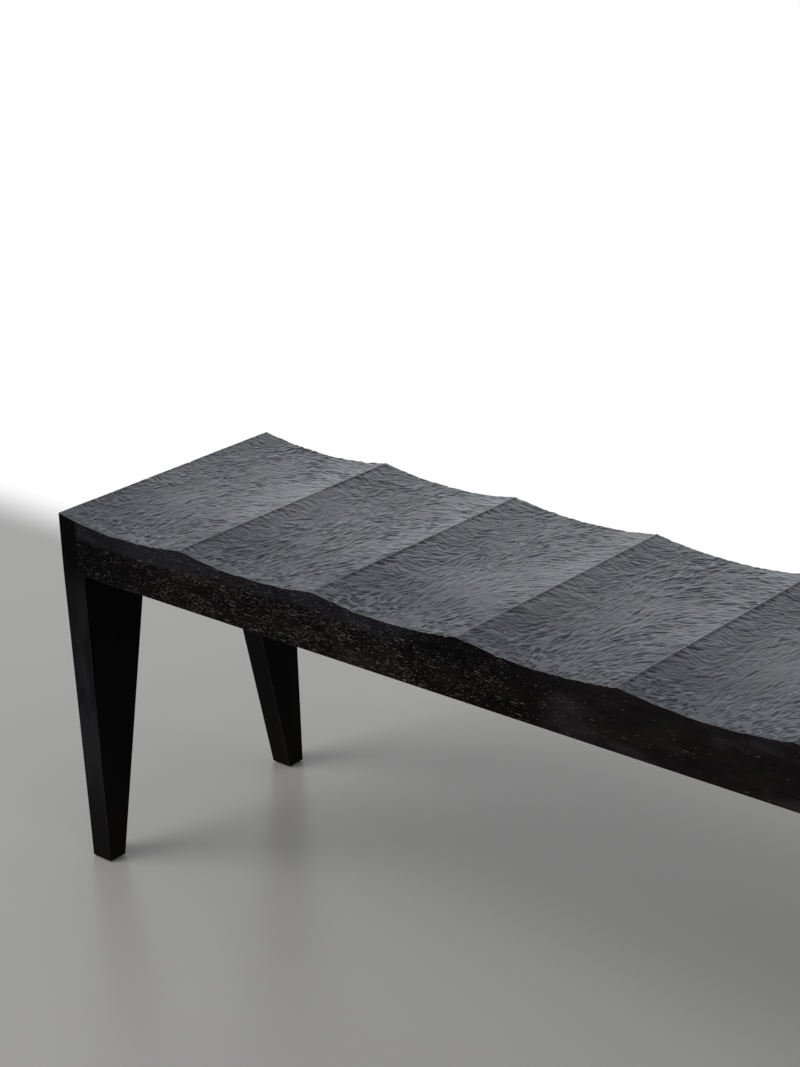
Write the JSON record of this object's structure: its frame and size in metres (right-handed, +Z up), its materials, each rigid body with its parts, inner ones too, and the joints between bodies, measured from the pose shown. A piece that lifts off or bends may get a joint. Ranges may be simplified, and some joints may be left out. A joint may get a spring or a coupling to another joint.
{
  "type": "scooped wooden bench",
  "caption": "Long black-stained wooden bench with a hand-carved top scooped into a row of shallow seats, on blade-shaped legs that taper to narrow feet.",
  "frame": {"origin": "on the floor under the middle of the bench", "axes": "+X along the bench, towards its right end as seen from the front, +Y from the front to the back, +Z up"},
  "size_m": [1.6, 0.35, 0.45],
  "materials": {
    "leg_wood": "black stain on close-grained wood, smooth, low satin",
    "rail_wood": "black-brown stain, open grain with pale filler in the pores, low satin",
    "seat_wood": "charcoal stain over fine hand-carved ripples, satin",
    "spline_wood": "planed, bare",
    "inner_wood": "planed, thin black stain, dull",
    "glide_plastic": "moulded nylon, matt",
    "steel": "bright zinc plate"
  },
  "bodies": {
    "root": {"leg_front_left": "leg_wood", "leg_front_right": "leg_wood", "leg_back_left": "leg_wood", "leg_back_right": "leg_wood", "front_rail": "rail_wood", "back_rail": "rail_wood", "end_rail_left": "rail_wood", "end_rail_right": "rail_wood", "seat_board_front": "seat_wood", "seat_board_front_middle": "seat_wood", "seat_board_back_middle": "seat_wood", "seat_board_back": "seat_wood", "spline_front": "spline_wood", "spline_middle": "spline_wood", "spline_back": "spline_wood", "bearer_left": "inner_wood", "bearer_middle": "inner_wood", "bearer_right": "inner_wood", "corner_block_front_left": "inner_wood", "corner_block_front_right": "inner_wood", "corner_block_back_left": "inner_wood", "corner_block_back_right": "inner_wood", "glide_front_left": "glide_plastic", "glide_front_right": "glide_plastic", "glide_back_left": "glide_plastic", "glide_back_right": "glide_plastic", "block_rail_screws": "steel", "block_leg_screws": "steel", "block_seat_screws": "steel", "bearer_screws": "steel", "glide_nails": "steel"}
  },
  "joints": []
}
